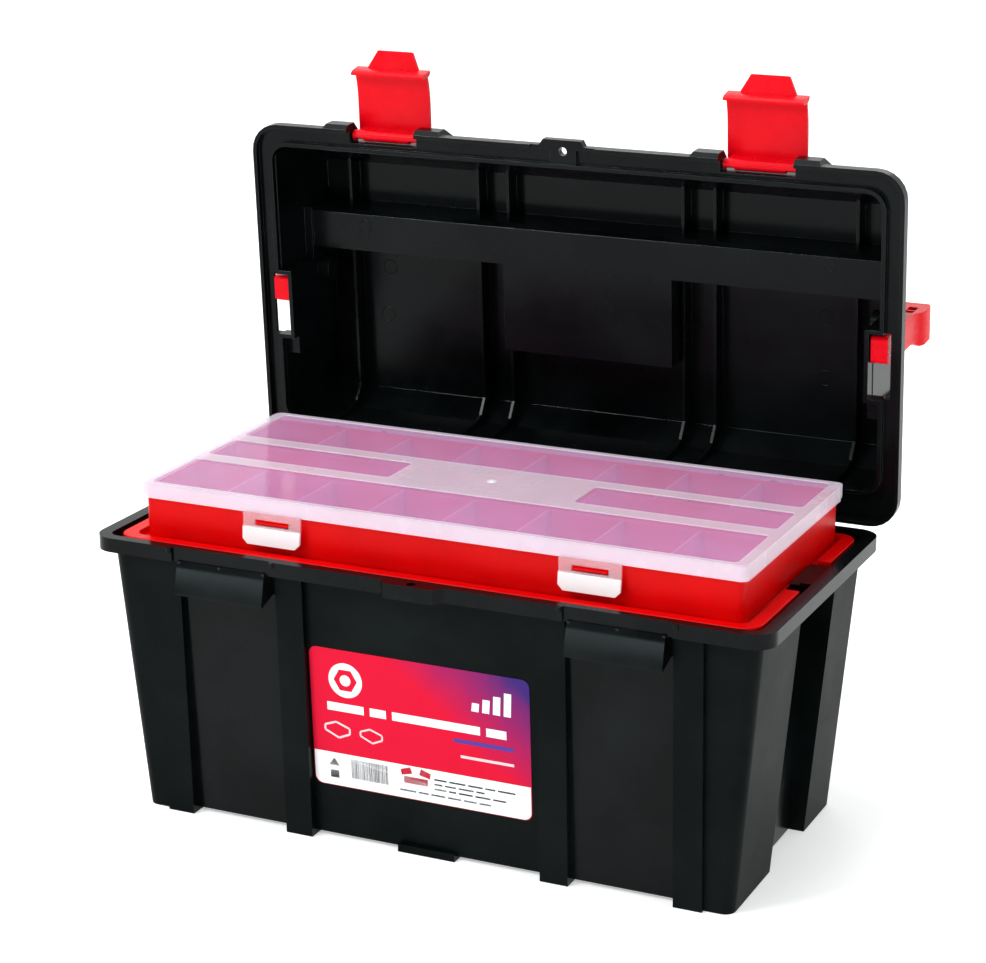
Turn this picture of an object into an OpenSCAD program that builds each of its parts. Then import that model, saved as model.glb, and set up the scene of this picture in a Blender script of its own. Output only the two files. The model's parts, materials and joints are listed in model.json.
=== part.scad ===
// Portable plastic tool box with a hinged lid, two draw latches, a folding bail handle,
// a lift-out tray and a clear-lidded organizer for small parts.
// +X is to the right, +Y to the back, +Z up. The origin is the centre of the footprint.
// The box stands open: the lid is up, its latches point up and its handle stands out behind.

/* [Box] */
// Length of the box at its rim
box_len = 439; // [436:1:442]
// Depth of the box at its rim
box_dep = 210; // [208:1:212]
// Height of the rim above the floor
box_h = 179.5; // [178:0.5:181]
// Thickness of the moulded walls
wall = 2.5; // [2.2:0.1:2.8]
// Depth that the front and back panels sit behind the ribs at the floor
panel_set = 6.5; // [5:0.5:8]
// Length of the side recess between the corner columns
side_gap = 64; // [56:1:70]

/* [Lid] */
// Length of the lid over its skirt
lid_len = 445; // [444:0.5:446]
// Depth of the lid over its skirt
lid_dep = 227.5; // [226:0.5:229]
// Height of the lid above its skirt's lower edge
lid_h = 66.5; // [65:0.5:68]
// Angle at which the open lid stands
lid_open = 86; // [80:1:89]
// Depth of the handle trough in the lid's top
trough_depth = 28.3; // [26:0.1:29]

/* [Handle and latches] */
// Distance from the handle's pivot to the outside of its grip
grip_reach = 41.5; // [40:0.5:42]
// Distance from the handle's pivot to the ends of its tails
tail_reach = 44.1; // [42:0.1:44.2]
// Width of a latch flap
latch_w = 51.6; // [50:1:56]
// Distance from a latch's pivot to the face of its hook
hook_reach = 38.7; // [38.2:0.1:38.8]

/* [Tray and organizer] */
// Depth of the lift-out tray's basin
tray_depth = 50; // [40:1:60]
// Length of the organizer over its lid
org_len = 395; // [388:1:396]
// Depth of the organizer over its lid
org_dep = 177; // [172:1:177]
// Height of the organizer
org_h = 36.2; // [34:0.1:37]
// Compartments in each long row of the organizer
row_cells = 8; // [4:1:8]

/* [Hidden] */

eps = 0.01;
far = 300;
black = [0.035, 0.04, 0.042];
red = [0.85, 0.02, 0.05];
clear = [0.95, 0.88, 0.93, 0.45];
steel = [0.7, 0.72, 0.74];

// Box levels and sizes
rim_h = 9;
rim_x = box_len / 2;
rim_y = box_dep / 2;
rim_low = box_h - rim_h;
rim_r = 14;
lip_x = 8.2;
lip_y = 6.8;
ledge_z = rim_low + 2;
floor_z = 2.5;
top_ref = 165;
base_shift = 2.8;
foot_x = 195.8;
side_x = 210.3;
panel_x = 187.5;
rib_low = 94.2;
rib_top = 99;
panel_top = 95.5;
corner_set = 3;
rib_w = 18;
rib_at = [85.3, 169.5];
column_x = 160.5;
gap_front = -22;
foot_w = 38;
foot_h = 5;
padlock_r = 2.75;
padlock_y = -(rim_y + 1);
catch_low = 151.1;
latch_x = 128;
catch_half = 30;

// Lid levels: t runs from the lid's back edge to its front, d up from the skirt's lower edge
lid_back = 118;
lid_front = lid_back - lid_dep;
lid_z = 178;
lid_mid = (lid_back + lid_front) / 2;
lid_x = lid_len / 2;
skirt_h = 7;
skirt_t = 2.4;
skirt_r = 18.5;
plate_low = 4.2;
dome_x = 211;
dome_y = 97.8;
dome_back = 101;
tab_low = 1.8;
dome_top_x = 204;
dome_r = 13;
hinge_y = 120.5;
hinge_z = 171.5;
hinge_x = 125;
knuckle_r = 4;
pin_r = 2;
running = 0.05;

// Handle: places in the closed lid
pivot_y = -0.5;
pivot_d = 46;
arm_in = 202.4;
arm_out = 213.2;
pivot_r = 3;

// Latches: places in the closed lid
latch_y = -104;
latch_d = 11.5;
barrel_r = 3.6;
barrel_half = 23.6;
latch_pin_r = 1.55;
flap_u = 11;
flap_t = 2.1;

// Tray
tray_x = 208;
tray_y = 94.5;
basin_x = 182.5;
basin_y = 86;
seat_z = 174.5;
tray_top = 178.5;

// Organizer
org_y = 5.5;
org_z = 174.8;
org_t = 1.6;
base_x = org_len / 2 - 3;
base_y = org_dep / 2 - 3;
row_back = 24;
row_front = -23;
base_top = org_z + org_h - 4;
cover_low = org_z + org_h - 9.7;
clip_x = 103.5;
clip_half = 19.5;
clip_axis_y = org_y - org_dep / 2 - 1.2;
clip_axis_z = cover_low - 0.2;
org_hinge_y = org_y + org_dep / 2 + 1;
org_hinge_z = cover_low + 2.7;
org_hinge_x = 135;

// Points of a rectangle with rounded corners, half sizes hx and hy, centred on y = cy
function rounded_points(hx, hy, r, cy = 0, n = 6) = [
    for (q = [0:3], i = [0:n])
        let (a = 90 * q + 90 * i / n,
             sx = (q == 0 || q == 3) ? 1 : -1,
             sy = q < 2 ? 1 : -1)
        [sx * (hx - r) + r * cos(a), cy + sy * (hy - r) + r * sin(a)]];

module rounded_slab(hx, hy, r, z0, z1, cy = 0) {
    translate([0, 0, z0]) linear_extrude(z1 - z0) polygon(rounded_points(hx, hy, r, cy));
}

// A solid that tapers from one rounded rectangle to another
module taper(low, high) {
    hull() {
        rounded_slab(low[0], low[1], low[2], low[3], low[3] + eps, low[4]);
        rounded_slab(high[0], high[1], high[2], high[3] - eps, high[3], high[4]);
    }
}

// A box given by its two corners
module block(lo, hi) {
    translate(lo) cube(hi - lo);
}

// The same shape on the right and on the left
module both_sides() {
    children();
    mirror([1, 0, 0]) children();
}

// An outline in Y and Z, swept along X from x0 to x1
module side_profile(points, x0, x1) {
    translate([x0, 0, 0]) rotate([90, 0, 90]) linear_extrude(x1 - x0) polygon(points);
}

// A round bar along X
module bar_x(r, x0, x1, y, z, fn = 48) {
    translate([x0, y, z]) rotate([0, 90, 0]) cylinder(r = r, h = x1 - x0, $fn = fn);
}

// Places what is drawn for a shut lid on the open lid
module on_lid() {
    translate([0, hinge_y, hinge_z]) rotate([-lid_open, 0, 0])
        translate([0, -hinge_y, lid_z - hinge_z]) children();
}

// ---------------------------------------------------------------- box

// Outer form at the ribs (inset 0) or at the corner columns (inset corner_set)
module rib_form(inset, grow, low_z) {
    taper([foot_x + grow, rib_low - inset + grow, 7, low_z, base_shift],
          [side_x + 0.5 + grow, rib_top + 0.3 - inset + grow, 9, rim_low + 1, 0]);
}

module panel_form(grow, low_z) {
    taper([panel_x + grow, rib_low - panel_set + grow, 6, low_z, base_shift],
          [panel_x + 1 + grow, panel_top + 0.3 + grow, 6, rim_low + 1, 0]);
}

// The upright zones that the ribs fill
module rib_zones(shrink) {
    both_sides() for (x = rib_at)
        block([x - rib_w / 2 + shrink, -far, -1], [x + rib_w / 2 - shrink, far, far]);
}

// The upright zones that the corner columns fill
module corner_zones(shrink) {
    both_sides() {
        block([column_x + shrink, -far, -1], [far, gap_front - shrink, far]);
        block([column_x + shrink, gap_front + side_gap + shrink, -1], [far, far, far]);
    }
}

module box_walls() {
    panel_form(0, floor_z);
    intersection() {
        rib_form(0, 0, 0);
        rib_zones(0);
    }
    intersection() {
        rib_form(corner_set, 0, 0);
        corner_zones(0);
    }
}

module box_hollow() {
    panel_form(-wall, floor_z + wall);
    intersection() {
        rib_form(0, -wall, floor_z + wall);
        rib_zones(2.2);
    }
    intersection() {
        rib_form(corner_set, -wall, floor_z + wall);
        corner_zones(wall);
    }
}

// Rim with its raised lip and the ledge that carries the tray
module box_rim() {
    difference() {
        union() {
            rounded_slab(rim_x, rim_y, rim_r, rim_low, box_h);
            // padlock tab
            linear_extrude(box_h) polygon([[-16, -rim_y - 6], [16, -rim_y - 6],
                [21, -rim_y + 1], [-21, -rim_y + 1]]);
        }
        rounded_slab(rim_x - lip_x, rim_y - lip_y, rim_r - lip_y, ledge_z, box_h + 1);
        rounded_slab(panel_x - wall + 1, panel_top - wall, 6, -1, ledge_z + 1);
        block([-far, -far, -1], [far, far, rim_low]);
        translate([0, padlock_y, 0]) cylinder(r = padlock_r, h = far, $fn = 48);
        // shallow relief behind each latch
        both_sides() block([latch_x - 33, -rim_y - 1, 0], [latch_x + 34, -rim_y + 1.5, far]);
    }
    // small stops at the ends of the relief
    both_sides() for (x = [latch_x - 35, latch_x + 36])
        translate([x, -rim_y + 0.2, box_h - 3.2]) cylinder(r = 1.8, h = 3, $fn = 24);
}

// Hooded catch under the rim that a latch's hook pulls on
module latch_catch() {
    face = -rim_y - 4.3;
    translate([latch_x, 0, 0]) {
        side_profile([[-rim_y + 1.5, rim_low + 1], [-rim_y + 0.6, rim_low + 1],
            [-rim_y - 1.6, rim_low - 4], [face, catch_low + 1.6], [face, catch_low], [face + 2.6, catch_low],
            [-rim_y + 1.5, rim_low - 3]], -catch_half, catch_half);
        for (x = [-catch_half, 0, catch_half - 2])
            side_profile([[face + 1, catch_low], [-90, catch_low + 6], [-90, rim_low + 1],
                [-rim_y, rim_low + 1]], x, x + 2);
    }
}

// Pair of hinge knuckles behind the rim
module box_knuckles() {
    difference() {
        for (x = [hinge_x - 29, hinge_x + 17.4]) {
            bar_x(knuckle_r, x, x + 11.6, hinge_y, hinge_z);
            block([x, rim_y - 2, hinge_z - 1], [x + 11.6, hinge_y, hinge_z + 3]);
        }
        bar_x(pin_r + running, hinge_x - 40, hinge_x + 40, hinge_y, hinge_z);
    }
}

// Raised lug on the ledge that fills the tray's finger notch
module ledge_lug() {
    block([197, -6, ledge_z - 1], [rim_x - lip_x + 1, 34, ledge_z + 4.5]);
    block([202.5, -4, ledge_z - 1], [rim_x - lip_x + 1, 31, ledge_z + 5.2]);
}

module box_body() {
    color(black) difference() {
        union() {
            difference() {
                box_walls();
                box_hollow();
                block([-178, -76, -1], [178, 76 + 2 * base_shift, floor_z]);
            }
            box_rim();
            both_sides() {
                latch_catch();
                box_knuckles();
                ledge_lug();
            }
            // middle feet, joined by a rib under the floor
            for (y = [-rib_low + base_shift + 2.8, rib_low + base_shift - 14.8])
                block([-foot_w / 2, y, 0], [foot_w / 2, y + 12, foot_h]);
            block([-2, base_shift - rib_low + 6, 0], [2, base_shift + rib_low - 6, floor_z + 1]);
        }
    }
}

module front_label() {
    rise = rim_low + 1 - floor_z;
    run = panel_top + 0.3 - (rib_low - panel_set - base_shift);
    lean = atan(run / rise);
    low = 35.5;
    color(red) translate([-2.8, -(rib_low - panel_set - base_shift) - run * (low - floor_z) / rise, low])
        rotate([90 + lean, 0, 0]) translate([0, 45.5, 0.02])
            linear_extrude(0.35) polygon(rounded_points(72.5, 45.5, 5));
}

module hinge_pin_right() {
    color(steel) bar_x(pin_r, hinge_x - 28.5, hinge_x + 28.5, hinge_y, hinge_z);
}

module hinge_pin_left() {
    mirror([1, 0, 0]) hinge_pin_right();
}

// ---------------------------------------------------------------- lid, drawn shut with z = d

inner_top = lid_h - wall;
dome_side = [[-dome_y, plate_low], [-dome_y, skirt_h], [-74.5, lid_h], [88.5, lid_h],
    [dome_back, 49], [dome_back, plate_low]];
dome_side_in = [[-dome_y + wall, -1], [-dome_y + wall, 5], [-72, inner_top], [87.2, inner_top],
    [dome_back - 2.6, 48.2], [dome_back - 2.6, skirt_h], [dome_y - wall, skirt_h],
    [dome_y - wall, -1]];

// The lid's crown, drawn solid: its outside at inset 0, its hollow at inset wall
module dome(profile, inset) {
    mid = (dome_back - dome_y) / 2;
    half = (dome_back + dome_y) / 2 - inset;
    intersection() {
        side_profile(profile, -far, far);
        rotate([90, 0, 0]) translate([0, 0, -far]) linear_extrude(2 * far)
            polygon([[inset - dome_x, -1], [dome_x - inset, -1],
                [dome_top_x - inset, lid_h + 1], [inset - dome_top_x, lid_h + 1]]);
        rounded_slab(dome_x - inset, half, dome_r - inset, -1, lid_h + 2, mid);
    }
}

// The room for the folded handle, grown by g: trough, finger recess and side pockets
module handle_room(g) {
    trough_z = lid_h - trough_depth - g;
    side_profile([[-43.3 - g, trough_z + 1.4 * g], [-43.3, trough_z], [-21 + g, trough_z], [-20.4 + g, 58 - g], [-16 + g, lid_h + 1],
        [-16 + g, far], [-44.8 - g, far]], -far, far);
    block([-56.6 - g, -24, trough_z], [56.6 + g, 38 + g, far]);
    both_sides() {
        block([202 - g, -7.5 - g, 9.5 - g], [far, 46.6 + g, far]);
        block([202 - g, -43.3 - g, 36 - g], [far, -7.4, far]);
        block([198.5 - g, -24, 54 - g], [far, -7.4, far]);
        block([201.6 - g, -7.5 - g, g > 0 ? 0 : -1], [214.6, 34.5 + g, 10]);
    }
}

// Thin stiffening fins under the lid's top and down its back wall
module lid_fins() {
    both_sides() for (x = [60.6, 82.3, 177])
        side_profile([[-77, 51], [82, 51], [92, 44], [95, 34], [95.3, 8], [99.5, 8], [99.5, 48], [88, inner_top + 1],
            [-73, inner_top + 1]], x, x + 1.8);
}

// Ears that hold a latch's pin
module latch_ears() {
    intersection() {
        side_profile([[-95.8, 0], [-109.5, 0], [-112.2, 3], [-112.2, 12], [-107, 17.2],
            [-96.5, 17.2], [-91, 14]], -far, far);
        linear_extrude(40) {
            translate([latch_x - 30, -100.1]) square([60, 9.5]);
            polygon([[latch_x - 46, -105], [latch_x - 41, -112.5], [latch_x - 24.4, -112.5],
                [latch_x - 24.4, -90], [latch_x - 46, -90]]);
            polygon([[latch_x + 24.4, -90], [latch_x + 24.4, -112.5], [latch_x + 40, -112.5],
                [latch_x + 44.5, -105], [latch_x + 44.5, -90]]);
        }
    }
}

// The channel under the lid's edge that the box's rim stands in
module rim_channel() {
    difference() {
        rounded_slab(lid_x - skirt_t, lid_dep / 2 - skirt_t, skirt_r - skirt_t, -1, plate_low, lid_mid);
        rounded_slab(dome_x, dome_y, dome_r, -2, plate_low + 1);
        // solid land round the padlock hole
        block([-9, lid_front - 1, tab_low], [9, -dome_y, plate_low + 1]);
    }
    block([-22, lid_front - 8, -1], [22, -dome_y - 0.1, tab_low]);
}

module lid_skirt() {
    difference() {
        union() {
            rounded_slab(lid_x, lid_dep / 2, skirt_r, 0, skirt_h, lid_mid);
            // padlock tab
            linear_extrude(skirt_h) polygon([[-13.5, lid_front - 3.8], [12.5, lid_front - 3.8],
                [15, lid_front + 1], [-17, lid_front + 1]]);
            both_sides() latch_ears();
        }
        rim_channel();
        rounded_slab(dome_x - wall, dome_y - wall, dome_r - wall, -1, skirt_h + 1);
    }
}

module lid_knuckle() {
    y = hinge_y;
    d = hinge_z - lid_z;
    bar_x(knuckle_r, hinge_x - 16.9, hinge_x + 16.9, y, d);
    side_profile([[y + knuckle_r, d], [y + 2.5, 3], [lid_back - 1, skirt_h], [110, skirt_h],
        [114.5, 1], [y - knuckle_r + 0.3, d]], hinge_x - 16.9, hinge_x + 16.9);
}

module lid_shell() {
    color(black) on_lid() difference() {
        union() {
            difference() {
                dome(dome_side, 0);
                dome(dome_side_in, wall);
            }
            intersection() {
                union() {
                    dome(dome_side, 0);
                    rounded_slab(dome_x, dome_y, dome_r, 0, skirt_h);
                }
                union() {
                    handle_room(wall);
                    lid_fins();
                }
            }
            lid_skirt();
            both_sides() {
                lid_knuckle();
                bar_x(8.5, 191, 201, pivot_y, pivot_d);
            }
        }
        handle_room(0);
        both_sides() {
            bar_x(pivot_r + running, 196.2, 205, pivot_y, pivot_d);
            bar_x(pin_r + running, hinge_x - 40, hinge_x + 40, hinge_y, hinge_z - lid_z);
            bar_x(latch_pin_r + running, latch_x - 32, latch_x + 32, latch_y, latch_d);
            // notch for the latch barrel
            block([latch_x - 24.4, -120, -1], [latch_x + 24.4, -100.1, 25]);
        }
        translate([0, padlock_y, -1]) cylinder(r = padlock_r, h = skirt_h + 2, $fn = 48);
    }
}

// ---------------------------------------------------------------- latches and handle

// Latch drawn hooked down, with its pivot at the origin: u = -y forward, v = z up
module latch_shape() {
    half = latch_w / 2;
    in = flap_u;
    out = flap_u + flap_t;
    difference() {
        union() {
            bar_x(barrel_r, -barrel_half, barrel_half, 0, 0);
            side_profile([[0, -3.2], [-out, -3.2], [-out, -1], [-out + 1.5, 0.6], [0, 0.6]],
                -barrel_half + 1.5, barrel_half - 1.5);
            // flap that curves in towards the hook
            side_profile(concat([[-out, -1], [-out, -21]],
                [for (i = [1:5]) [-out + 2.6 * pow(i / 5, 2), -21 - 3.6 * i]],
                [for (i = [5:-1:1]) [-in + 2.6 * pow(i / 5, 2), -21 - 3.6 * i]],
                [[-in, -21], [-in, -1]]), -half, half);
            // hook bar
            side_profile([[-out + 3.4, -hook_reach], [-2.8, -hook_reach], [-2.8, -hook_reach - 1.4],
                [-5.4, -hook_reach - 2.8], [-out - 0.2, -hook_reach - 3.9],
                [-out - 0.4, -hook_reach - 2.2], [-out + 1.6, -hook_reach - 0.6]],
                -half - 0.3, half + 0.3);
            // finger tab
            intersection() {
                side_profile([[-out + 2, -hook_reach - 2.4], [-out - 0.2, -hook_reach - 2.2],
                    [-out - 4.5, -52.4], [-out - 2.6, -53.2]], -far, far);
                rotate([90, 0, 0]) linear_extrude(far) polygon([[-18, -hook_reach],
                    [18, -hook_reach], [18, -hook_reach - 4], [11.2, -55],
                    [-11.2, -55], [-18, -hook_reach - 4]]);
            }
        }
        bar_x(latch_pin_r + running, -far, far, 0, 0);
        // notches at the barrel's ends where the pin shows
        for (s = [-1, 1]) block([s * 19.6 - 3.2, -2, 1], [s * 19.6 + 3.2, 5, 5]);
    }
}

module latch_right() {
    color(red) on_lid() translate([latch_x, latch_y, latch_d]) rotate([-90, 0, 0]) latch_shape();
}

module latch_left() {
    mirror([1, 0, 0]) latch_right();
}

module latch_pin_right() {
    color(steel) on_lid() bar_x(latch_pin_r, latch_x - 29, latch_x + 29, latch_y, latch_d);
}

module latch_pin_left() {
    mirror([1, 0, 0]) latch_pin_right();
}

// Bail handle, drawn standing on the shut lid
module carry_handle() {
    grip_top = pivot_d + grip_reach;
    tail = pivot_d - tail_reach;
    side = [[-3, grip_top - 0.6], [-2, grip_top], [17, grip_top], [18.5, grip_top - 1.5],
        [18.5, 66], [14, 57], [14, tail + 8], [11, tail + 0.6], [10, tail], [-3.5, tail],
        [-5.5, tail + 2], [-5.5, 52], [-3.5, 66], [-3.5, grip_top - 1.2]];
    flare = 3.8;
    color(red) on_lid() difference() {
        union() {
            intersection() {
                side_profile(side, -far, far);
                rotate([90, 0, 0]) translate([0, 0, -far]) linear_extrude(2 * far) difference() {
                    union() {
                        polygon(rounded_points(arm_out, 120, 6, grip_top - 120));
                        intersection() {
                            polygon(rounded_points(arm_out + flare, 120, 6, grip_top - 120));
                            polygon([[-far, grip_top + 1], [-far, 70], [-arm_out - flare, 70],
                                [-arm_out, 62], [arm_out, 62], [arm_out + flare, 70],
                                [far, 70], [far, grip_top + 1]]);
                        }
                    }
                    polygon(rounded_points(arm_in, 120, 2, grip_top - 13.5 - 120));
                }
            }
            both_sides() bar_x(pivot_r, 196.5, arm_in + 1, pivot_y, pivot_d);
        }
        // channel under the grip, crossed by ribs
        for (i = [-8:7])
            block([i * 25 + 1, -8, grip_top - 11], [i * 25 + 24, 16, grip_top - 2.5]);
        both_sides() for (z = [63, 55])
            block([arm_in + 2.5, -20, z + 7], [arm_out - 2.5, 16, z + 13.5]);
    }
}

// ---------------------------------------------------------------- tray

module lift_tray() {
    low = ledge_z + 0.3;
    bottom = seat_z - tray_depth;
    color(red) difference() {
        union() {
            difference() {
                rounded_slab(tray_x, tray_y, 12, low, tray_top);
                rounded_slab(tray_x - 9, (tray_y * 2 - 11) / 2, 7, seat_z, tray_top + 1, 2.5);
            }
            taper([basin_x - 2.5, basin_y - 2.5, 8, bottom, 0], [basin_x, basin_y, 8, low + 1, 0]);
        }
        difference() {
            taper([basin_x - 4.5, basin_y - 4.5, 7, bottom + 2, 0],
                  [basin_x - 2, basin_y - 2, 7, seat_z + 1, 0]);
            // fixed compartment walls
            block([-far, 8, 0], [far, 10, seat_z - 6]);
            for (x = [-62, 60])
                block([x, -far, 0], [x + 2, far, seat_z - 6]);
        }
        // finger notches in the rim
        both_sides() block([195.5, -20, 0], [far, 38, far]);
    }
}

// ---------------------------------------------------------------- organizer

module organizer_base() {
    top = base_top;
    back = org_y + base_y;
    color(red) {
        difference() {
            rounded_slab(base_x, base_y, 4, org_z, top, org_y);
            difference() {
                rounded_slab(base_x - org_t, base_y - org_t, 3, org_z + org_t, top + 1, org_y);
                for (y = [row_back, row_front])
                    block([-far, org_y + y - 0.8, 0], [far, org_y + y + 0.8, top - 0.5]);
                both_sides() block([61.2, org_y + row_front, 0],
                    [62.8, org_y + row_back, top - 0.5]);
                divider_guides();
            }
        }
        // catches that the clips snap over
        both_sides() side_profile([[org_y - base_y + 0.5, cover_low - 6.4],
            [clip_axis_y - 0.5, cover_low - 6.2], [clip_axis_y - 0.5, cover_low - 5],
            [org_y - base_y + 0.5, cover_low - 3.9]], clip_x - 10.5, clip_x + 10.5);
        // lid hinge lugs
        both_sides() difference() {
            for (x = [org_hinge_x - 19, org_hinge_x + 15.4])
                side_profile([[back - 0.5, org_hinge_z - 4], [org_hinge_y, org_hinge_z - 1.9],
                    [org_hinge_y + 1.4, org_hinge_z - 1], [org_hinge_y + 1.4, org_hinge_z + 1],
                    [org_hinge_y, org_hinge_z + 1.9], [back - 0.5, org_hinge_z + 1.9]], x, x + 3.6);
            bar_x(1.05, org_hinge_x - 30, org_hinge_x + 30, org_hinge_y, org_hinge_z, 32);
        }
    }
}

function divider_x(i) = (i - row_cells / 2) * (2 * base_x - org_t) / row_cells;

// Low guides on the row walls that hold the removable dividers
module divider_guides() {
    top = base_top;
    for (i = [1:row_cells - 1], s = [-1, 1]) {
        x = divider_x(i) + s * 1.6;
        for (y = [org_y + base_y - org_t - 0.6, org_y + row_back + 1.4,
                  org_y + row_front - 1.4, org_y - base_y + org_t + 0.6])
            block([x - 0.5, y - 0.7, 0], [x + 0.5, y + 0.7, top - 1]);
    }
}

module divider(i, y0, y1) {
    top = base_top - 1;
    color([0.95, 0.55, 0.7]) block([divider_x(i) - 0.8, y0 + 0.15, org_z + org_t],
        [divider_x(i) + 0.8, y1 - 0.15, top]);
}

module back_divider(i) {
    divider(i, org_y + row_back + 0.8, org_y + base_y - org_t);
}

module front_divider(i) {
    divider(i, org_y - base_y + org_t, org_y + row_front - 0.8);
}

module organizer_lid() {
    top = org_z + org_h;
    hx = org_len / 2;
    hy = org_dep / 2;
    color(clear) {
        difference() {
            rounded_slab(hx, hy, 5, cover_low, top, org_y);
            rounded_slab(hx - 1.5, hy - 1.5, 3.6, cover_low - 1, top - 1.8, org_y);
            // sunk windows over the compartments
            rounded_slab(190, 27.5, 3, top - 0.5, top + 1, org_y + 57);
            rounded_slab(190, 27.5, 3, top - 0.5, top + 1, org_y - 57);
            both_sides() translate([126, 0, 0])
                rounded_slab(64, 17.5, 3, top - 0.5, top + 1, org_y + 0.5);
            // the back skirt is cut short so that it can turn past the base
            block([-far, org_y + hy - 7, 0], [far, far, cover_low + 1.7]);
            both_sides() for (x = [org_hinge_x - 19.4, org_hinge_x + 15])
                block([x, org_y + hy - 2, 0], [x + 4.4, far, org_hinge_z + 3.2]);
            // the clips hang in notches in the front skirt
            both_sides() block([clip_x - clip_half - 0.3, -far, 0],
                [clip_x + clip_half + 0.3, org_y - hy + 0.2, cover_low + 1.2]);
        }
        both_sides() {
            bar_x(1.9, org_hinge_x - 15, org_hinge_x + 15, org_hinge_y, org_hinge_z, 32);
            bar_x(1, org_hinge_x - 18.6, org_hinge_x + 18.6, org_hinge_y, org_hinge_z, 32);
            block([org_hinge_x - 15, org_y + hy - 1, org_hinge_z - 0.9],
                [org_hinge_x + 15, org_hinge_y, org_hinge_z + 1.9]);
        }
    }
}

module organizer_clip_right() {
    y = clip_axis_y;
    z = clip_axis_z;
    color(clear) difference() {
        union() {
            bar_x(0.9, clip_x - clip_half, clip_x + clip_half, y, z, 24);
            side_profile([[y - 0.9, z], [y - 0.9, z - 7], [y - 1.6, z - 8], [y - 2.4, z - 18.8],
                [y - 0.9, z - 18.8], [y + 0.3, z - 8.4], [y + 0.9, z - 7.4], [y + 0.9, z]],
                clip_x - clip_half, clip_x + clip_half);
        }
        block([clip_x - 11.5, -far, z - 6.9], [clip_x + 11.5, 0, z - 3.2]);
        for (s = [-1, 1]) translate([clip_x + s * clip_half, 0, z - 18.8]) rotate([0, 45, 0])
            cube([4.6, far, 4.6], center = true);
    }
}

module organizer_clip_left() {
    mirror([1, 0, 0]) organizer_clip_right();
}

box_body();
front_label();
hinge_pin_left();
hinge_pin_right();
lid_shell();
latch_left();
latch_right();
latch_pin_left();
latch_pin_right();
carry_handle();
lift_tray();
organizer_base();
organizer_lid();
organizer_clip_left();
organizer_clip_right();
for (i = [1:row_cells - 1]) {
    back_divider(i);
    front_divider(i);
}
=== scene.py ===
import json
import math
import random

import bmesh
import bpy
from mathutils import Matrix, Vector


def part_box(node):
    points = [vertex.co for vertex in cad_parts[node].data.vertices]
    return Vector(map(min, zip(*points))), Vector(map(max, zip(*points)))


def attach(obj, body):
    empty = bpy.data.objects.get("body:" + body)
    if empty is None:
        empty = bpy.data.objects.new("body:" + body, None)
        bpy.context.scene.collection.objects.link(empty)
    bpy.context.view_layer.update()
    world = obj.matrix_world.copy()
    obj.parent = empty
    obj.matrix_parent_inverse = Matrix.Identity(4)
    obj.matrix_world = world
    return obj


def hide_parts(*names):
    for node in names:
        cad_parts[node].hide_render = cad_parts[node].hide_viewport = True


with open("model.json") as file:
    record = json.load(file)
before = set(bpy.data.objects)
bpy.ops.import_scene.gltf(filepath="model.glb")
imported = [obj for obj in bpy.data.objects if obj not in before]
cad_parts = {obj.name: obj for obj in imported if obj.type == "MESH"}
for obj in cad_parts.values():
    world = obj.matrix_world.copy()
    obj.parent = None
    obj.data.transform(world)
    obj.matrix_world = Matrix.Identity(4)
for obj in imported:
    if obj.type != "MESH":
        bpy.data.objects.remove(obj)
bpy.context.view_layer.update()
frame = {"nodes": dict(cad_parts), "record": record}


nodes = frame["nodes"]
record = frame["record"]
joints = {j["name"]: j for j in record["behaviour"]["joints"]}
rng = random.Random(7)
scene = bpy.context.scene


# ------------------------------------------------------------------ materials

def new_material(name):
    """A material with one principled shader joined to its output."""
    mat = bpy.data.materials.new(name)
    mat.use_nodes = True
    tree = mat.node_tree
    tree.nodes.clear()
    out = tree.nodes.new("ShaderNodeOutputMaterial")
    bsdf = tree.nodes.new("ShaderNodeBsdfPrincipled")
    tree.links.new(bsdf.outputs["BSDF"], out.inputs["Surface"])
    return mat, tree, bsdf


def coords(tree, stretch=(1, 1, 1)):
    tex = tree.nodes.new("ShaderNodeTexCoord")
    mapping = tree.nodes.new("ShaderNodeMapping")
    mapping.inputs["Scale"].default_value = stretch
    tree.links.new(tex.outputs["Object"], mapping.inputs["Vector"])
    return mapping.outputs["Vector"]


def noise(tree, vector, scale, detail=4.0, rough=0.6):
    node = tree.nodes.new("ShaderNodeTexNoise")
    node.inputs["Scale"].default_value = scale
    node.inputs["Detail"].default_value = detail
    node.inputs["Roughness"].default_value = rough
    tree.links.new(vector, node.inputs["Vector"])
    return node.outputs["Fac"]


def remap(tree, value, lo, hi, a=0.0, b=1.0):
    node = tree.nodes.new("ShaderNodeMapRange")
    node.inputs["From Min"].default_value = lo
    node.inputs["From Max"].default_value = hi
    node.inputs["To Min"].default_value = a
    node.inputs["To Max"].default_value = b
    tree.links.new(value, node.inputs["Value"])
    return node.outputs["Result"]


def bump(tree, height, strength, distance, normal=None):
    node = tree.nodes.new("ShaderNodeBump")
    node.inputs["Strength"].default_value = strength
    node.inputs["Distance"].default_value = distance
    tree.links.new(height, node.inputs["Height"])
    if normal is not None:
        tree.links.new(normal, node.inputs["Normal"])
    return node.outputs["Normal"]


def mix_color(tree, factor, a, b):
    node = tree.nodes.new("ShaderNodeMix")
    node.data_type = "RGBA"
    for socket, value in ((node.inputs[6], a), (node.inputs[7], b)):
        if hasattr(value, "links"):
            tree.links.new(value, socket)
        else:
            socket.default_value = value
    if hasattr(factor, "links"):
        tree.links.new(factor, node.inputs[0])
    else:
        node.inputs[0].default_value = factor
    return node.outputs[2]


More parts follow.
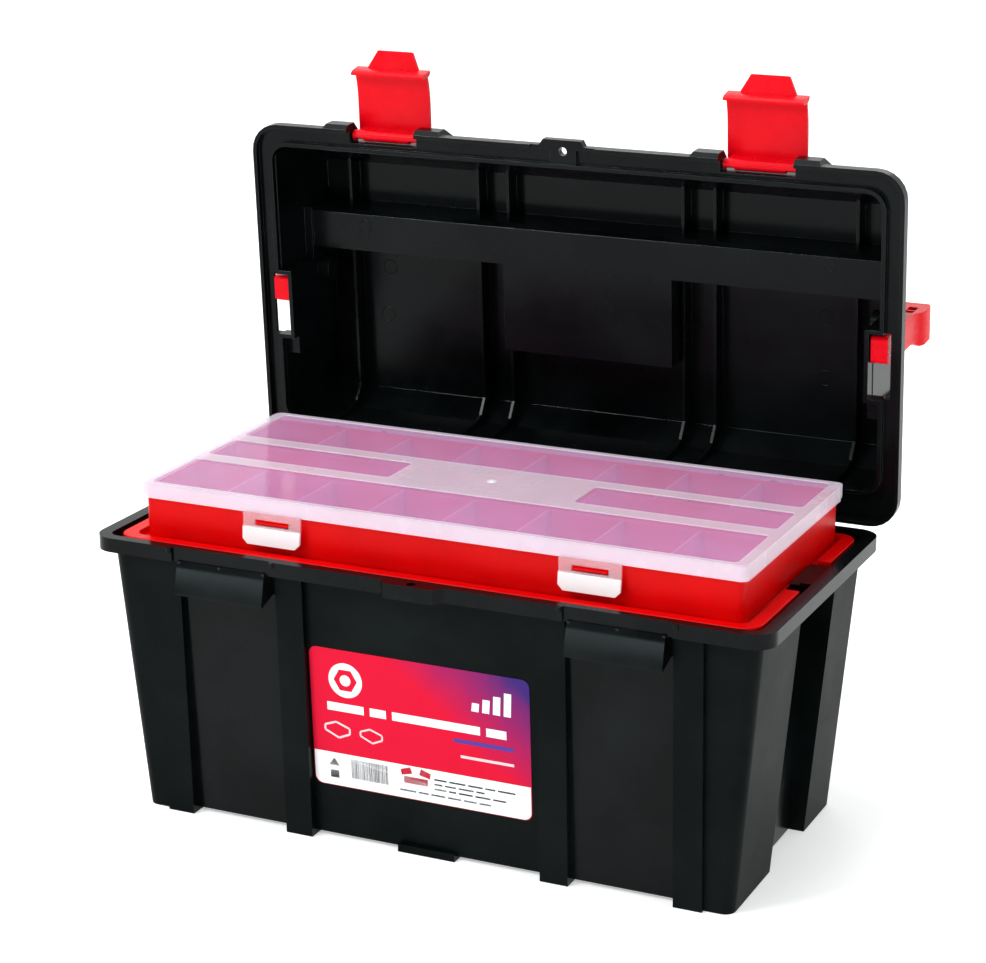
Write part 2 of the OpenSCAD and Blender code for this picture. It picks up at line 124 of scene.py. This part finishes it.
def math_node(tree, operation, a, b):
    node = tree.nodes.new("ShaderNodeMath")
    node.operation = operation
    for socket, value in ((node.inputs[0], a), (node.inputs[1], b)):
        if hasattr(value, "links"):
            tree.links.new(value, socket)
        else:
            socket.default_value = value
    return node.outputs[0]


def black_plastic(name, base, rough, grain, shine):
    """Moulded black plastic: leathery grain, faint wear and hairline scratches."""
    mat, tree, bsdf = new_material(name)
    link = tree.links.new
    v = coords(tree)
    cloud = noise(tree, v, 14.0)
    fine = noise(tree, v, 900.0, 2.0, 0.5)
    lighter = tuple(min(1.0, c * 1.9 + 0.004) for c in base)
    link(mix_color(tree, remap(tree, cloud, 0.35, 0.75), (*base, 1), (*lighter, 1)),
         bsdf.inputs["Base Color"])
    scuff = noise(tree, coords(tree, (6, 6, 260)), 3.0, 3.0, 0.7)
    worn = remap(tree, scuff, 0.62, 0.78, 0.0, 0.10)
    link(math_node(tree, "ADD", remap(tree, cloud, 0.3, 0.7, rough - 0.05, rough + 0.06), worn),
         bsdf.inputs["Roughness"])
    n = bump(tree, fine, grain, 0.0004)
    link(bump(tree, noise(tree, v, 5.0, 2.0), 0.12, 0.004, n), bsdf.inputs["Normal"])
    bsdf.inputs["Specular IOR Level"].default_value = shine
    return mat


def red_plastic(name, base, rough):
    """Glossy red plastic with a faint cloud, smears and a slightly wavy surface."""
    mat, tree, bsdf = new_material(name)
    link = tree.links.new
    v = coords(tree)
    cloud = noise(tree, v, 20.0)
    darker = tuple(c * 0.82 for c in base)
    link(mix_color(tree, remap(tree, cloud, 0.3, 0.7), (*darker, 1), (*base, 1)),
         bsdf.inputs["Base Color"])
    smear = noise(tree, coords(tree, (40, 8, 40)), 2.0)
    link(remap(tree, smear, 0.35, 0.7, rough, rough + 0.12), bsdf.inputs["Roughness"])
    n = bump(tree, noise(tree, v, 650.0, 2.0), 0.06, 0.0003)
    link(bump(tree, noise(tree, v, 9.0, 2.0), 0.12, 0.003, n), bsdf.inputs["Normal"])
    bsdf.inputs["Subsurface Weight"].default_value = 0.08
    bsdf.inputs["Subsurface Radius"].default_value = (0.006, 0.001, 0.001)
    bsdf.inputs["Specular IOR Level"].default_value = 0.09
    return mat


def clear_plastic(name, tint, frost, milk):
    """Frosted clear plastic: part see-through, part milky."""
    mat, tree, bsdf = new_material(name)
    link = tree.links.new
    v = coords(tree)
    out = next(n for n in tree.nodes if n.type == "OUTPUT_MATERIAL")
    bsdf.inputs["Base Color"].default_value = (*tint, 1)
    bsdf.inputs["IOR"].default_value = 1.49
    cloud = noise(tree, v, 16.0)
    link(remap(tree, cloud, 0.3, 0.7, frost, frost + 0.08), bsdf.inputs["Roughness"])
    link(bump(tree, noise(tree, v, 500.0, 2.0), 0.10, 0.0003), bsdf.inputs["Normal"])
    see = tree.nodes.new("ShaderNodeBsdfTransparent")
    see.inputs["Color"].default_value = (1.0, 0.965, 0.985, 1)
    mix = tree.nodes.new("ShaderNodeMixShader")
    link(remap(tree, cloud, 0.3, 0.75, milk - 0.04, milk + 0.05), mix.inputs[0])
    link(see.outputs[0], mix.inputs[1])
    link(bsdf.outputs[0], mix.inputs[2])
    link(mix.outputs[0], out.inputs["Surface"])
    return mat


def steel(name):
    """Drawn steel wire, with rings along its length."""
    mat, tree, bsdf = new_material(name)
    link = tree.links.new
    bsdf.inputs["Metallic"].default_value = 1.0
    rings = noise(tree, coords(tree, (600, 10, 10)), 2.0)
    link(mix_color(tree, rings, (0.55, 0.56, 0.58, 1), (0.72, 0.73, 0.75, 1)),
         bsdf.inputs["Base Color"])
    link(remap(tree, rings, 0.3, 0.7, 0.22, 0.4), bsdf.inputs["Roughness"])
    link(bump(tree, rings, 0.1, 0.0002), bsdf.inputs["Normal"])
    return mat


def film(name, base, top=None):
    """Printed film; with top it fades towards that colour at the upper right."""
    rough = 0.3
    mat, tree, bsdf = new_material(name)
    link = tree.links.new
    v = coords(tree)
    cloud = noise(tree, v, 60.0)
    darker = tuple(c * 0.93 for c in base)
    color = mix_color(tree, cloud, (*darker, 1), (*base, 1))
    if top:
        (x0, _, z0), (x1, _, z1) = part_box("front_label")
        tex = tree.nodes.new("ShaderNodeTexCoord")
        split = tree.nodes.new("ShaderNodeSeparateXYZ")
        link(tex.outputs["Object"], split.inputs[0])
        u = remap(tree, split.outputs["X"], x0, x1)
        w = remap(tree, split.outputs["Z"], z0, z1)
        warp = math_node(tree, "MULTIPLY", noise(tree, v, 25.0), 0.25)
        rising = math_node(tree, "ADD", u, math_node(tree, "MULTIPLY", w, 0.75))
        blend = math_node(tree, "ADD", rising, warp)
        color = mix_color(tree, remap(tree, blend, 1.22, 1.78), color, (*top, 1))
    link(color, bsdf.inputs["Base Color"])
    link(remap(tree, cloud, 0.3, 0.7, rough, rough + 0.1), bsdf.inputs["Roughness"])
    link(bump(tree, noise(tree, v, 120.0, 2.0), 0.04, 0.0004), bsdf.inputs["Normal"])
    bsdf.inputs["Specular IOR Level"].default_value = 0.06
    return mat


BLACK_GRAIN = black_plastic("black_grain", (0.0007, 0.0020, 0.0019), 0.46, 0.35, 0.05)
BLACK_SMOOTH = black_plastic("black_smooth", (0.0007, 0.0015, 0.0017), 0.20, 0.05, 0.10)
# painted highlight: a lighter, far glossier copy of the black plastic, put on the rolled edges
BLACK_EDGE_HIGHLIGHT = black_plastic("black_edge_highlight", (0.0010, 0.0022, 0.0024), 0.16, 0.05, 1.0)
RED = red_plastic("red_gloss", (0.84, 0.001, 0.010), 0.22)
RED_DEEP = red_plastic("red_base", (0.80, 0.0005, 0.001), 0.28)
CLEAR = clear_plastic("clear_frosted", (0.97, 0.87, 1.0), 0.22, 0.54)
CLEAR_WINDOW = clear_plastic("clear_window", (1.0, 0.56, 1.0), 0.07, 0.30)
# painted highlight: a whiter, milkier copy of the frosted clear, put on the rolled edges
CLEAR_EDGE_HIGHLIGHT = clear_plastic("clear_edge_highlight", (1.0, 0.97, 1.0), 0.15, 0.80)
CLEAR_CLIP = clear_plastic("clear_clip", (1.0, 0.97, 0.98), 0.18, 0.80)
CLEAR_CLIP_THIN = clear_plastic("clear_clip_thin", (0.93, 0.72, 0.78), 0.10, 0.26)
DIVIDER = clear_plastic("divider_frosted", (0.90, 0.50, 0.62), 0.3, 0.5)
STEEL = steel("pin_steel")
LABEL_RED = film("label_red", (0.72, 0.006, 0.035), (0.050, 0.022, 0.17))
LABEL_WHITE = film("label_white", (0.95, 0.95, 0.96))
LABEL_DARK = film("label_dark", (0.02, 0.02, 0.025))
LABEL_PINK = film("label_pink", (0.92, 0.62, 0.66))
LABEL_BLUE = film("label_blue", (0.10, 0.05, 0.30))


# ------------------------------------------------------------------ pieces from the CAD nodes

WELD_DISTANCE = 0.000004
FLAT_WITHIN = math.radians(0.6)   # faces this close to one plane become one
ROLL_FROM = math.radians(28)      # edges sharper than this are rolled


def soften(node_name, mat, body, width, segments, extra=(), pick=None, edge=None):
    """A moulded piece with rolled edges, grown from the node's own surface.

    pick gives each face the number of its material: 0 for mat, 1 for the first of extra.
    edge is the material of the rolled edges, a lighter copy that paints highlights along them.
    """
    src = nodes[node_name]
    bm = bmesh.new()
    bm.from_mesh(src.data)
    bmesh.ops.remove_doubles(bm, verts=bm.verts, dist=WELD_DISTANCE)
    bmesh.ops.dissolve_limit(bm, angle_limit=FLAT_WITHIN, verts=bm.verts, edges=bm.edges,
                             delimit={"NORMAL"})
    mesh = bpy.data.meshes.new(node_name + "_skin")
    mats = [mat, *extra]
    if edge:
        mats.append(edge)
    if pick:
        for f in bm.faces:
            f.material_index = pick(f.calc_center_median(), f.normal)
    for f in bm.faces:
        f.smooth = True
    bm.to_mesh(mesh)
    bm.free()
    for m in mats:
        mesh.materials.append(m)
    obj = bpy.data.objects.new(node_name + "_skin", mesh)
    scene.collection.objects.link(obj)
    mod = obj.modifiers.new("roll", "BEVEL")
    mod.width = width
    mod.segments = segments
    mod.limit_method = "ANGLE"
    mod.angle_limit = ROLL_FROM
    mod.use_clamp_overlap = True
    mod.harden_normals = False
    mod.miter_outer = "MITER_ARC"
    # the rolled edges take the edge material, which paints highlights along them
    if edge:
        mod.material = len(mats) - 1
    normal = obj.modifiers.new("shade", "WEIGHTED_NORMAL")
    normal.keep_sharp = False
    normal.weight = 80
    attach(obj, body)
    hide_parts(node_name)


def patch(name, mesh_maker, mat, body):
    """A thin extra piece that mesh_maker fills in."""
    bm = bmesh.new()
    mesh_maker(bm)
    mesh = bpy.data.meshes.new(name)
    bm.to_mesh(mesh)
    bm.free()
    mesh.materials.append(mat)
    obj = bpy.data.objects.new(name, mesh)
    scene.collection.objects.link(obj)
    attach(obj, body)


# zones of the box, in metres
RIM_FROM = 0.171                    # height where the rim starts
LABEL_PANEL_HALF = 0.076            # half width of the panel behind the label
FRONT_BEFORE = -0.080               # y in front of which a face is on the front
SIDE_PANELS = (0.0945, 0.160)       # from the middle, the recessed panels beside the label
END_PANELS_WITHIN = 0.192           # end walls nearer the middle than this are recessed


def box_zone(c, n):
    """Smooth rim and recessed panels, grain on ribs, columns and the panel behind the label."""
    x = abs(c.x)
    if c.z > RIM_FROM:
        return 1
    if x < LABEL_PANEL_HALF and abs(n.x) < 0.6 and c.y < FRONT_BEFORE:
        return 0
    if SIDE_PANELS[0] < x < SIDE_PANELS[1] and abs(n.x) < 0.6:
        return 1
    if x < END_PANELS_WITHIN and abs(n.x) > 0.8:
        return 1
    return 0


cover_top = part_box("organizer_lid")[1][2]
clip_lo, clip_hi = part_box("organizer_clip_left")


def cover_zone(c, n):
    """The sunk panels and the underside are clearer than the frame round them."""
    if n.z > 0.9:
        return 1 if c.z < cover_top - 0.0003 else 0
    return 1 if n.z < -0.9 else 0


def clip_zone(c, n):
    """The clip's upper part is clearer than its tab."""
    return 1 if c.z > (clip_lo[2] + clip_hi[2]) / 2 else 0


# the rolled edges of box and lid get the lighter, glossier black: painted edge highlights
soften("box_body", BLACK_GRAIN, "box", 0.0009, 3, extra=(BLACK_SMOOTH,), pick=box_zone,
       edge=BLACK_EDGE_HIGHLIGHT)
soften("lid_shell", BLACK_SMOOTH, "lid", 0.0012, 3, edge=BLACK_EDGE_HIGHLIGHT)
soften("front_label", LABEL_RED, "box", 0.0001, 1)
for side in ("left", "right"):
    soften("latch_" + side, RED, "latch_" + side, 0.0006, 3)
    soften("hinge_pin_" + side, STEEL, "box", 0.0004, 2)
    soften("latch_pin_" + side, STEEL, "lid", 0.0004, 2)
    soften("organizer_clip_" + side, CLEAR_CLIP, "clip_" + side, 0.0003, 2,
           extra=(CLEAR_CLIP_THIN,), pick=clip_zone)
soften("carry_handle", RED, "handle", 0.0012, 3)
soften("lift_tray", RED_DEEP, "tray", 0.0009, 3)
soften("organizer_base", RED_DEEP, "organizer", 0.0004, 2)
# the cover's rolled edges get the whiter, milkier clear: painted edge highlights
soften("organizer_lid", CLEAR, "organizer_lid", 0.0007, 3,
       extra=(CLEAR_WINDOW,), pick=cover_zone, edge=CLEAR_EDGE_HIGHLIGHT)
for name in nodes:
    if "divider" in name:
        soften(name, DIVIDER, "organizer", 0.0003, 2)


# ------------------------------------------------------------------ label graphics

FILM = 0.00035        # thickness of the label
FILM_FACE = 0.00036   # just clear of its face
INK, INK_OVER, INK_TOP = 0.00012, 0.0002, 0.0003   # how far each layer of print stands off

label_lo, label_hi = (Vector(p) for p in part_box("front_label"))
label_w = label_hi.x - label_lo.x
label_h = label_hi.z - label_lo.z
lean = math.asin(min(1.0, (label_hi.y - label_lo.y - FILM) / label_h))
label_origin = Vector((label_lo.x, label_hi.y - FILM_FACE, label_lo.z))
across = Vector((1, 0, 0))
upward = Vector((0, -math.sin(lean), math.cos(lean)))
outward = across.cross(upward)
label_len = label_h / math.cos(lean)


def on_label(u, v, lift):
    """A point on the label, u across and v up, both from 0 to 1."""
    return label_origin + across * (u * label_w) + upward * (v * label_len) + outward * lift


def print_shape(name, outlines, mat, lift=INK):
    """Flat printed outlines, given in the label's own u and v."""
    def maker(bm):
        for pts in outlines:
            verts = [bm.verts.new(on_label(u, v, lift)) for u, v in pts]
            bm.faces.new(verts)
    patch(name, maker, mat, "box")


def rect(u0, v0, u1, v1, skew=0.0):
    return [(u0, v0), (u1, v0), (u1 + skew, v1), (u0 + skew, v1)]


def arc_points(cu, cv, ru, rv, a0, a1, n=6):
    return [(cu + ru * math.cos(math.radians(a0 + (a1 - a0) * i / n)),
             cv + rv * math.sin(math.radians(a0 + (a1 - a0) * i / n))) for i in range(n + 1)]


def round_outline(cu, cv, r, sides):
    """A regular outline of radius r, as a share of the label's width."""
    turn = 2 * math.pi
    return [(cu + r * math.cos(turn * i / sides), cv + r * aspect * math.sin(turn * i / sides))
            for i in range(sides)]


LABEL_CORNER = 0.005
aspect = label_w / label_len
corner_u = LABEL_CORNER / label_w
corner_v = LABEL_CORNER / label_len
edge_u = 0.003
edge_v = edge_u * aspect
strip_top = 0.245
white = (arc_points(corner_u + edge_u, corner_v + edge_v, corner_u, corner_v, 180, 270)
         + arc_points(1 - corner_u - edge_u, corner_v + edge_v, corner_u, corner_v, 270, 360)
         + [(1 - edge_u, strip_top), (edge_u, strip_top)])
print_shape("label_strip", [white], LABEL_WHITE)

# a round white disc with a plain hexagon nut
badge_u, badge_v = 0.165, 0.785
print_shape("label_badge_disc", [round_outline(badge_u, badge_v, 0.078, 40)], LABEL_WHITE)
print_shape("label_badge_nut", [round_outline(badge_u, badge_v, 0.054, 6)], LABEL_RED, INK_OVER)
print_shape("label_badge_hole", [round_outline(badge_u, badge_v, 0.025, 28)], LABEL_WHITE, INK_TOP)

# plain bars where the wording stands
bars = []
u = 0.075
for width in (0.17, 0.075, 0.40, 0.09):
    bars.append(rect(u, 0.555, u + width, 0.615))
    u += width + 0.028
print_shape("label_bars", bars, LABEL_WHITE)
print_shape("label_bar_small", [rect(0.655, 0.475, 0.925, 0.505)], LABEL_BLUE)
print_shape("label_bar_size", [rect(0.685, 0.37, 0.925, 0.39)], LABEL_PINK)
steps = []
for i in range(4):
    steps.append(rect(0.74 + 0.048 * i, 0.72, 0.772 + 0.048 * i, 0.78 + 0.035 * i, 0.004))
print_shape("label_steps", steps, LABEL_WHITE)


def box_icon(u0, v0, s):
    """Small outline drawing of an open tray."""
    a = aspect * s
    t = s * 0.08
    outline = [(u0, v0 + a * 0.25), (u0 + s * 0.55, v0), (u0 + s, v0 + a * 0.2),
               (u0 + s, v0 + a * 0.42), (u0 + s * 0.45, v0 + a * 0.62), (u0, v0 + a * 0.45)]
    quads = []
    for i, p in enumerate(outline):
        q = outline[(i + 1) % len(outline)]
        du, dv = q[0] - p[0], (q[1] - p[1]) / aspect
        ln = math.hypot(du, dv)
        nu, nv = -dv / ln * t / 2, du / ln * t / 2 * aspect
        quads.append([(p[0] - nu, p[1] - nv), (q[0] - nu, q[1] - nv),
                      (q[0] + nu, q[1] + nv), (p[0] + nu, p[1] + nv)])
    return quads


print_shape("label_icons", box_icon(0.06, 0.36, 0.115) + box_icon(0.225, 0.36, 0.10), LABEL_PINK)

# stripe block, small marks and fine print rules on the white strip
stripes = []
u = 0.175
for i in range(30):
    w = rng.choice((0.0022, 0.0034, 0.0052))
    stripes.append(rect(u, 0.075, u + w, 0.215))
    u += w + rng.choice((0.002, 0.003))
    if u > 0.36:
        break
print_shape("label_stripes", stripes, LABEL_DARK)
marks = [rect(0.075, 0.06, 0.115, 0.115), [(0.07, 0.15), (0.12, 0.15), (0.095, 0.205)]]
print_shape("label_marks", marks, LABEL_DARK)
rules = []
for row, (v0, parts) in enumerate(((0.17, 5), (0.135, 4), (0.10, 5), (0.055, 6))):
    u = 0.56 if row < 3 else 0.40
    for i in range(parts):
        w = 0.03 + 0.05 * rng.random()
        rules.append(rect(u, v0, min(0.95, u + w), v0 + 0.012))
        u += w + 0.012
        if u > 0.93:
            break
print_shape("label_rules", rules, LABEL_DARK)
chest = [rect(0.42, 0.115, 0.53, 0.165), [(0.41, 0.17), (0.46, 0.19), (0.45, 0.235), (0.405, 0.21)],
         [(0.49, 0.19), (0.54, 0.17), (0.545, 0.21), (0.50, 0.235)]]
print_shape("label_chest", chest, LABEL_RED)


# ------------------------------------------------------------------ small moulded marks

lid_joint = joints["lid_hinge"]
hinge_point = Vector(lid_joint["pos_m"])
open_angle = math.radians(abs(lid_joint["range_deg"][0]))
lid_axis_t = Vector((0, -math.cos(open_angle), math.sin(open_angle)))
lid_axis_d = Vector((0, math.sin(open_angle), math.cos(open_angle)))
HINGE_BEHIND = 0.0025   # the hinge axis lies this far behind the lid's back edge
HINGE_UNDER = 0.0065    # and this far under its skirt
lid_zero = hinge_point + lid_axis_t * HINGE_BEHIND + lid_axis_d * HINGE_UNDER


def on_lid(x, t, d):
    """x across, t from the back edge to the front, d up from the skirt; all in mm."""
    return lid_zero + Vector((x / 1000, 0, 0)) + lid_axis_t * (t / 1000) + lid_axis_d * (d / 1000)


def bridge(bm, rows):
    """Faces between neighbouring rings of equal count."""
    for a, b in zip(rows, rows[1:]):
        for i in range(len(a)):
            j = (i + 1) % len(a)
            bm.faces.new((a[i], a[j], b[j], b[i]))


def ejector(name, x, t, d, r):
    """Faint ring left by an ejector pin on the inside of the lid."""
    def maker(bm):
        n = 28
        rows = []
        for rad, drop in ((r - 0.35, 0.0), (r - 0.15, 0.12), (r + 0.15, 0.12), (r + 0.35, 0.0)):
            rows.append([bm.verts.new(on_lid(x + rad * math.cos(2 * math.pi * i / n),
                                             t + rad * math.sin(2 * math.pi * i / n),
                                             d - drop - 0.02)) for i in range(n)])
        bridge(bm, rows)
    patch(name, maker, BLACK_SMOOTH, "lid")


# place and radius of each mark, in the lid's own millimetres
marks_at = [(-160, 153, 35.7, 4.2), (165, 156, 35.7, 4.2), (-157, 118, 64, 5), (154, 113, 64, 5),
            (-160, 84, 64, 5), (154, 72, 64, 5)]
for i, (x, t, d, r) in enumerate(marks_at):
    ejector("lid_mark_%d" % i, x, t, d, r)

org_lo, org_hi = (Vector(p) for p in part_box("organizer_lid"))


def gate_mark(bm):
    """The small moulding point in the middle of the organizer's lid."""
    n = 20
    cx, cy = (org_lo.x + org_hi.x) / 2, (org_lo.y + org_hi.y) / 2
    rows = []
    for rad, z in ((0.0032, 0.00002), (0.0028, 0.0003), (0.0014, 0.0003),
                   (0.0010, 0.0007), (0.0002, 0.0008)):
        rows.append([bm.verts.new((cx + rad * math.cos(2 * math.pi * i / n),
                                   cy + rad * math.sin(2 * math.pi * i / n),
                                   org_hi.z + z)) for i in range(n)])
    bridge(bm, rows)
    bm.faces.new(rows[-1])


patch("organizer_gate_mark", gate_mark, CLEAR_CLIP, "organizer_lid")


# ------------------------------------------------------------------ room, light and camera

def floor_mesh(bm):
    """Seamless sweep: floor that curves up into a backdrop."""
    flat_to, radius, steps_up = 2.6, 1.2, 12
    prof = [(-4.0, 0.0), (flat_to, 0.0)]
    for i in range(1, steps_up + 1):
        a = math.pi / 2 * i / steps_up
        prof.append((flat_to + radius * math.sin(a), radius - radius * math.cos(a)))
    prof.append((3.8, 5.0))
    rows = [[bm.verts.new((x, y, z)) for x in (-6.0, 6.0)] for y, z in prof]
    for a, b in zip(rows, rows[1:]):
        bm.faces.new((a[0], a[1], b[1], b[0]))


mat_floor, _, floor_bsdf = new_material("paper")
floor_bsdf.inputs["Base Color"].default_value = (0.96, 0.96, 0.96, 1)
floor_bsdf.inputs["Roughness"].default_value = 0.75
floor_bsdf.inputs["Specular IOR Level"].default_value = 0.1
floor_bsdf.inputs["Emission Color"].default_value = (1, 1, 1, 1)
floor_bsdf.inputs["Emission Strength"].default_value = 0.42
bm = bmesh.new()
floor_mesh(bm)
mesh = bpy.data.meshes.new("floor")
for f in bm.faces:
    f.smooth = True
bm.to_mesh(mesh)
bm.free()
mesh.materials.append(mat_floor)
floor = bpy.data.objects.new("floor", mesh)
scene.collection.objects.link(floor)


def area_light(name, place, target, size, power, tint=(1, 1, 1)):
    """A soft rectangular light at place, aimed at target."""
    data = bpy.data.lights.new(name, "AREA")
    data.shape = "RECTANGLE"
    data.size, data.size_y = size
    data.energy = power
    data.color = tint
    obj = bpy.data.objects.new(name, data)
    obj.location = place
    obj.rotation_euler = (Vector(target) - Vector(place)).to_track_quat("-Z", "Y").to_euler()
    scene.collection.objects.link(obj)


area_light("key", (-1.1, -1.6, 1.9), (0, 0, 0.2), (0.6, 0.45), 20)
area_light("low", (-1.05, -2.3, 0.50), (0, 0.1, 0.25), (1.3, 0.40), 11, (0.78, 0.97, 1.0))
area_light("strip", (0.2, -2.4, 2.2), (0, 0, 0.3), (2.2, 0.16), 14)
area_light("fill", (1.9, -0.5, 0.9), (0, 0, 0.2), (0.9, 1.3), 8, (0.86, 1.0, 0.97))
area_light("top", (-0.5, 0.15, 2.3), (0, 0.05, 0.2), (2.2, 1.4), 32, (0.95, 1.0, 1.0))
area_light("back", (-0.6, 2.2, 1.8), (0, 0.1, 0.3), (2.0, 1.0), 12)

world = bpy.data.worlds.new("studio")
scene.world = world
world.use_nodes = True
world.node_tree.nodes["Background"].inputs["Color"].default_value = (1, 1, 1, 1)
world.node_tree.nodes["Background"].inputs["Strength"].default_value = 0.32

# the photograph's viewing angle
AZ = math.radians(24.67)
EL = math.radians(16.73)
cam_data = bpy.data.cameras.new("camera")
cam_data.sensor_width = 36.0
cam_data.lens = 98.7
cam = bpy.data.objects.new("camera", cam_data)
cam.location = (0.663, -1.435, 0.688)
back = Vector((math.sin(AZ) * math.cos(EL), -math.cos(AZ) * math.cos(EL), math.sin(EL)))
cam.rotation_euler = back.to_track_quat("Z", "Y").to_euler()
scene.collection.objects.link(cam)
scene.camera = cam
scene.view_settings.view_transform = "Standard"
